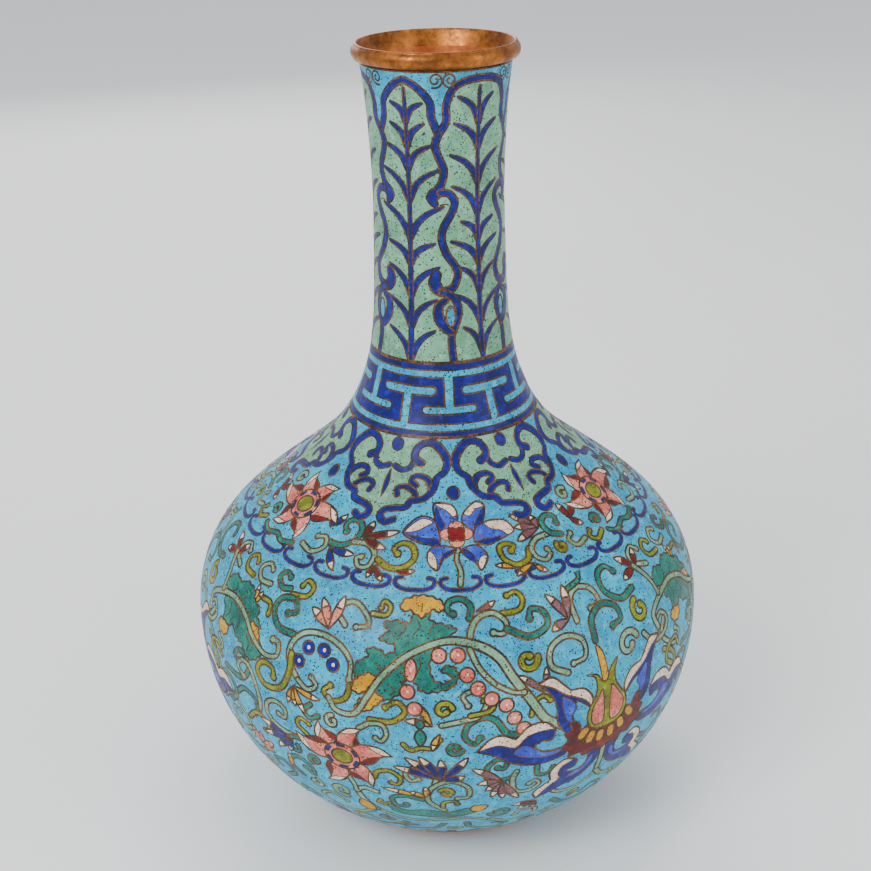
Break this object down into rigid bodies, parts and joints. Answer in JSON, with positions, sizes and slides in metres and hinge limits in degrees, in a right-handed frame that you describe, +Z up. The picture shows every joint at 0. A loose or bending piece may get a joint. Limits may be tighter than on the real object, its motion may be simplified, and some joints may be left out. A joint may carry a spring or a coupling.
{
  "type": "cloisonne vase",
  "caption": "Tall-necked bottle vase with a round belly: copper body, gilt rim and foot, enamel cells between brass wires.",
  "frame": {"origin": "centre of the foot ring, on the surface the vase stands on", "axes": "+Z up along the vase's axis, towards the mouth; -Y faces the front"},
  "size_m": [0.1602, 0.1602, 0.2457],
  "materials": {
    "gilt_bronze": "worn gilding over bronze, satin",
    "copper": "bare copper, dulled",
    "cloison_wire": "oxidised brass wire, ground flush",
    "turquoise_enamel": "satin ground enamel with fine pits",
    "sage_enamel": "satin ground enamel with fine pits",
    "cobalt_enamel": "glossy enamel",
    "rose_enamel": "satin ground enamel",
    "dark_red_enamel": "satin ground enamel",
    "olive_enamel": "satin ground enamel",
    "yellow_enamel": "satin ground enamel",
    "teal_enamel": "satin ground enamel",
    "celadon_enamel": "satin ground enamel"
  },
  "bodies": {
    "root": {"mouth_rim": "gilt_bronze", "neck_tube": "copper", "shoulder_shell": "copper", "lower_body_shell": "copper", "base_plate": "copper", "foot_ring": "gilt_bronze", "neck_ring_cloisons": "cloison_wire", "band_ring_cloisons": "cloison_wire", "foot_ring_cloison": "cloison_wire", "neck_sky_enamel": "turquoise_enamel", "lappet_panels": "sage_enamel", "lappet_arches": "cobalt_enamel", "lappet_dividers": "cobalt_enamel", "neck_leaf_sprays": "cobalt_enamel", "neck_drops": "turquoise_enamel", "band_upper_border": "cobalt_enamel", "band_sky_enamel": "turquoise_enamel", "key_fret": "cobalt_enamel", "band_lower_border": "cobalt_enamel", "shoulder_sky_enamel": "turquoise_enamel", "ruyi_panels": "sage_enamel", "ruyi_borders": "cobalt_enamel", "ruyi_inner_curls": "cobalt_enamel", "shoulder_dots": "cobalt_enamel", "blue_flower_petals": "cobalt_enamel", "red_flower_petals": "rose_enamel", "flower_centres": "olive_enamel", "shoulder_tendrils": "celadon_enamel", "scallop_border": "cobalt_enamel", "belly_sky_enamel": "turquoise_enamel", "lotus_petals": "cobalt_enamel", "lotus_pods": "rose_enamel", "lotus_cups": "dark_red_enamel", "vine_leaves": "teal_enamel", "leaf_tips": "yellow_enamel", "pink_berries": "rose_enamel", "blue_berries": "cobalt_enamel", "scroll_stems": "celadon_enamel"}
  },
  "joints": []
}
